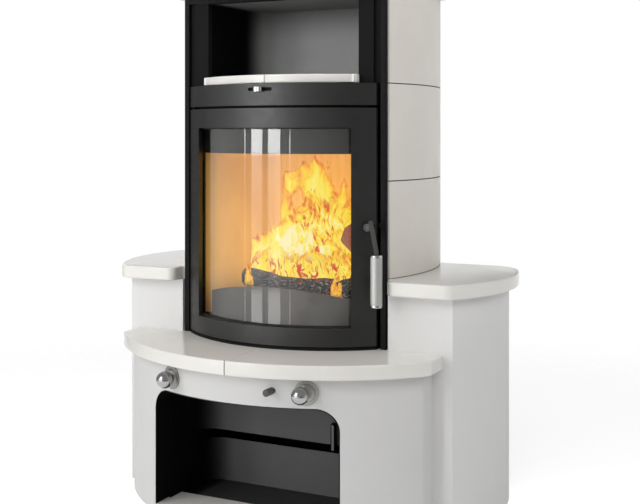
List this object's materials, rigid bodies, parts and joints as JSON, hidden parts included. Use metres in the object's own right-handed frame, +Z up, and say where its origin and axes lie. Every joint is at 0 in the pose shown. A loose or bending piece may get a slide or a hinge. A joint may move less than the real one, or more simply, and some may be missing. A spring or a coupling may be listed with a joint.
{
  "type": "wood stove",
  "caption": "Tiled wood stove with a curved glass door, side benches, a warming niche, pull-out air controls and an arched wood compartment under a curved hearth slab",
  "frame": {"origin": "on the floor under the middle of the outline", "axes": "+X to the viewer's right, +Y to the back, +Z up"},
  "size_m": [1.02, 0.62, 1.243],
  "materials": {
    "slab_ceramic": "gloss",
    "bench_plaster": "matt",
    "tile_ceramic": "satin",
    "black_steel": "satin",
    "door_cast": "satin paint",
    "grey_sheet": "satin",
    "inner_steel": "matt",
    "zinc_sheet": "zinc plated",
    "fire_brick": "matt",
    "cast_grate": "cast",
    "charred_wood": "charred",
    "pane": "clear",
    "seal_tape": "woven",
    "polished_chrome": "mirror",
    "satin_grip": "satin",
    "pin_steel": "turned"
  },
  "bodies": {
    "stove": {"bench_body_left": "bench_plaster", "bench_body_right": "bench_plaster", "apron": "bench_plaster", "bench_slab_left": "slab_ceramic", "bench_slab_right": "slab_ceramic", "hearth_slab_left": "slab_ceramic", "hearth_slab_right": "slab_ceramic", "niche_plate_left": "slab_ceramic", "niche_plate_right": "slab_ceramic", "top_slab": "slab_ceramic", "base_slab": "slab_ceramic", "tile_lower_left": "tile_ceramic", "tile_lower_right": "tile_ceramic", "tile_middle_left": "tile_ceramic", "tile_middle_right": "tile_ceramic", "tile_upper_left": "tile_ceramic", "tile_upper_right": "tile_ceramic", "lining_left": "fire_brick", "lining_right": "fire_brick", "lining_rear": "fire_brick", "lining_floor": "fire_brick", "baffle_plate": "fire_brick", "front_frame": "black_steel", "base_trim": "black_steel", "control_panel": "black_steel", "niche_liner": "grey_sheet", "bin_back_upper": "grey_sheet", "bin_back_lower": "grey_sheet", "bin_carcass": "inner_steel", "rear_panel": "inner_steel", "side_casings": "zinc_sheet", "firebox_shell": "inner_steel", "smoke_duct": "inner_steel", "air_box": "zinc_sheet", "ash_pan": "zinc_sheet", "grate_frame": "cast_grate", "log_guard": "inner_steel", "logs": "charred_wood", "bin_peg": "polished_chrome", "levelling_feet": "pin_steel", "hinge_pins": "pin_steel", "latch_keeper": "black_steel", "rosettes": "satin_grip", "flue_spigot": "black_steel", "air_spigot": "zinc_sheet"},
    "door": {"door_frame": "door_cast", "door_glass": "pane", "door_seals": "seal_tape", "glass_clips": "pin_steel"},
    "handle": {"handle_spindle": "pin_steel", "handle_arm": "black_steel", "handle_grip": "satin_grip", "grip_ferrules": "polished_chrome", "latch_tongue": "pin_steel"},
    "air_slider": {"slider_bar": "inner_steel", "slider_knob": "polished_chrome"},
    "left_air_pull": {"air_pull_left": "polished_chrome"},
    "right_air_pull": {"air_pull_right": "polished_chrome"},
    "riddler": {"riddle_pull": "black_steel", "riddling_grate": "cast_grate"}
  },
  "joints": [
    {"name": "door_hinge", "type": "hinge", "parent": "stove", "child": "door", "pos_m": [-0.24, -0.05, 0.664], "axis": [0, 0, -1], "range_deg": [0, 90]},
    {"name": "handle_turn", "type": "hinge", "parent": "door", "child": "handle", "pos_m": [0.238, -0.09, 0.664], "axis": [0, -1, 0], "range_deg": [-15, 60]},
    {"name": "air_slider_swing", "type": "hinge", "parent": "stove", "child": "air_slider", "pos_m": [0, 0.212, 0.976], "axis": [0, 0, 1], "range_deg": [-3.5, 3.5]},
    {"name": "left_air_slide", "type": "slide", "parent": "stove", "child": "left_air_pull", "axis": [0, -1, 0], "range_m": [0, 0.033]},
    {"name": "right_air_slide", "type": "slide", "parent": "stove", "child": "right_air_pull", "axis": [0, -1, 0], "range_m": [0, 0.033]},
    {"name": "riddle_slide", "type": "slide", "parent": "stove", "child": "riddler", "axis": [0, -1, 0], "range_m": [0, 0.03]}
  ]
}
